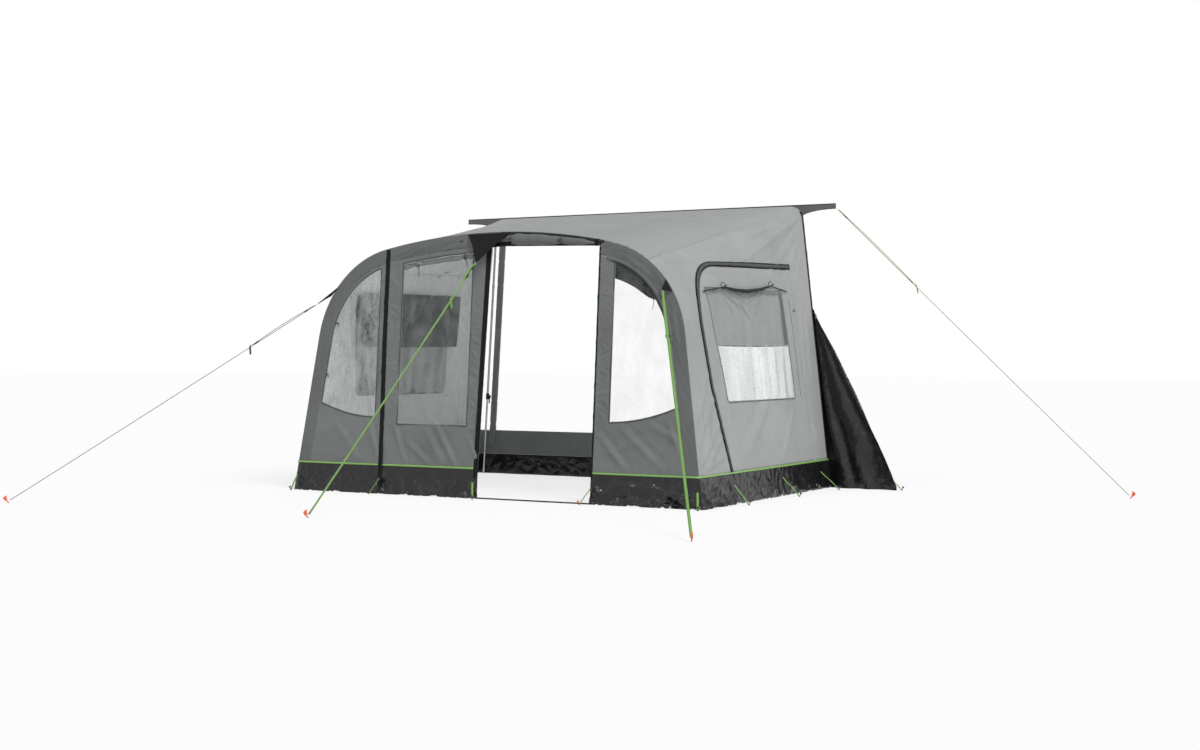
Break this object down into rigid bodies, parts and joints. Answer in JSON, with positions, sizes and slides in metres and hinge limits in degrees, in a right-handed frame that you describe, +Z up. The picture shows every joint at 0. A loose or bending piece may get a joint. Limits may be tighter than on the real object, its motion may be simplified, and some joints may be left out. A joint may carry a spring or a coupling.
{
  "type": "porch awning",
  "caption": "Arched porch awning on a pole frame that hangs from a wall rail, with an open front doorway, windowed side doors, mud walls, draught flaps and guy straps.",
  "frame": {"origin": "on the ground, at the middle of the awning's box without guys and pegs, on its plane of symmetry", "axes": "+X along the rail to the right as seen from the front, +Y from the front to the wall with the rail, +Z up"},
  "size_m": [7.4201, 4.8888, 2.448],
  "materials": {
    "front_cloth": "coated polyester, mid grey",
    "side_cloth": "coated polyester, light grey",
    "roof_cloth": "coated polyester, grey",
    "curtain_cloth": "thin soft cloth, light grey",
    "dark_cloth": "heavy tape and cloth, near black",
    "mud_sheet": "coated sheet, glossy black",
    "clear_film": "clear window film",
    "foam_cloth": "foam pad and skirt cloth, dark grey",
    "steel_tube": "galvanised steel tube",
    "alloy_tube": "anodised alloy tube",
    "black_plastic": "moulded nylon, black",
    "green_webbing": "flat woven webbing, green",
    "orange_plastic": "moulded peg top, orange"
  },
  "bodies": {
    "awning": {"front_arch_band": "front_cloth", "front_panel_outer_left": "front_cloth", "front_panel_inner_left": "front_cloth", "front_panel_right": "front_cloth", "front_door_roll": "front_cloth", "side_wall_left": "side_cloth", "side_wall_right": "side_cloth", "roof_panel": "roof_cloth", "front_curtain_roll": "dark_cloth", "front_curtain_tieback": "dark_cloth", "keder_strip": "dark_cloth", "guy_patch_left": "dark_cloth", "guy_patch_center": "dark_cloth", "guy_patch_right": "dark_cloth", "front_mud_wall": "mud_sheet", "side_mud_wall_left": "mud_sheet", "side_mud_wall_right": "mud_sheet", "draught_flap_left": "mud_sheet", "draught_flap_right": "mud_sheet", "front_window_outer_left": "clear_film", "front_window_inner_left": "clear_film", "front_window_right": "clear_film", "draught_skirt": "foam_cloth", "draught_pad_left": "foam_cloth", "draught_pad_right": "foam_cloth", "arch_crown_pole": "steel_tube", "arch_shoulder_pole_left": "steel_tube", "arch_shoulder_pole_right": "steel_tube", "arch_leg_pole_left": "steel_tube", "arch_leg_pole_right": "steel_tube", "rear_upright_upper_left": "alloy_tube", "rear_upright_upper_right": "alloy_tube", "roof_pole_front_left": "alloy_tube", "roof_pole_front_right": "alloy_tube", "rear_upright_clamp_left": "black_plastic", "rear_upright_clamp_right": "black_plastic", "guy_strap_left": "green_webbing", "guy_strap_center": "green_webbing", "guy_strap_right": "green_webbing", "guy_strap_rear": "green_webbing", "ground_peg_left": "orange_plastic", "ground_peg_center": "orange_plastic", "ground_peg_right": "orange_plastic", "ground_peg_rear": "orange_plastic"},
    "door_left": {"side_door_left": "side_cloth", "side_door_window_left": "clear_film", "side_door_curtain_left": "curtain_cloth"},
    "leg_foot_left": {"arch_leg_extension_left": "alloy_tube"},
    "rear_foot_left": {"rear_upright_lower_left": "alloy_tube"},
    "clamp_lever_left": {"rear_upright_lever_left": "black_plastic"},
    "roof_slide_left": {"roof_pole_rear_left": "alloy_tube"},
    "roof_collar_left": {"roof_pole_collar_left": "black_plastic"},
    "door_right": {"side_door_right": "side_cloth", "side_door_window_right": "clear_film", "side_door_curtain_right": "curtain_cloth"},
    "leg_foot_right": {"arch_leg_extension_right": "alloy_tube"},
    "rear_foot_right": {"rear_upright_lower_right": "alloy_tube"},
    "clamp_lever_right": {"rear_upright_lever_right": "black_plastic"},
    "roof_slide_right": {"roof_pole_rear_right": "alloy_tube"},
    "roof_collar_right": {"roof_pole_collar_right": "black_plastic"}
  },
  "joints": [
    {"name": "side_door_left_hinge", "type": "hinge", "parent": "awning", "child": "door_left", "pos_m": [-1.8595, 0.9786, 0.242], "axis": [-0.1151, 0.0724, -0.9907], "range_deg": [0, 95]},
    {"name": "arch_leg_left_slide", "type": "slide", "parent": "awning", "child": "leg_foot_left", "axis": [0.1479, 0.074, 0.9862], "range_m": [0, 0.25]},
    {"name": "rear_upright_left_slide", "type": "slide", "parent": "awning", "child": "rear_foot_left", "axis": [0.0651, 0, 0.9979], "range_m": [0, 0.4]},
    {"name": "clamp_lever_left_hinge", "type": "hinge", "parent": "awning", "child": "clamp_lever_left", "pos_m": [-1.65229, 1.2456, 0.73841], "axis": [0, -1, 0], "range_deg": [0, 105]},
    {"name": "roof_pole_left_slide", "type": "slide", "parent": "awning", "child": "roof_slide_left", "axis": [0, -0.989, -0.1479], "range_m": [0, 0.3]},
    {"name": "roof_collar_left_turn", "type": "hinge", "parent": "awning", "child": "roof_collar_left", "pos_m": [-0.9, 0.17403, 2.22399], "axis": [0, -0.989, -0.1479], "range_deg": [0, 90]},
    {"name": "side_door_right_hinge", "type": "hinge", "parent": "awning", "child": "door_right", "pos_m": [1.8595, 0.9786, 0.242], "axis": [-0.1151, -0.0724, 0.9907], "range_deg": [0, 95]},
    {"name": "arch_leg_right_slide", "type": "slide", "parent": "awning", "child": "leg_foot_right", "axis": [-0.1479, 0.074, 0.9862], "range_m": [0, 0.25]},
    {"name": "rear_upright_right_slide", "type": "slide", "parent": "awning", "child": "rear_foot_right", "axis": [-0.0651, 0, 0.9979], "range_m": [0, 0.4]},
    {"name": "clamp_lever_right_hinge", "type": "hinge", "parent": "awning", "child": "clamp_lever_right", "pos_m": [1.65229, 1.2456, 0.73841], "axis": [0, 1, 0], "range_deg": [0, 105]},
    {"name": "roof_pole_right_slide", "type": "slide", "parent": "awning", "child": "roof_slide_right", "axis": [0, -0.989, -0.1479], "range_m": [0, 0.3]},
    {"name": "roof_collar_right_turn", "type": "hinge", "parent": "awning", "child": "roof_collar_right", "pos_m": [0.9, 0.17403, 2.22399], "axis": [0, -0.989, -0.1479], "range_deg": [0, 90]}
  ]
}
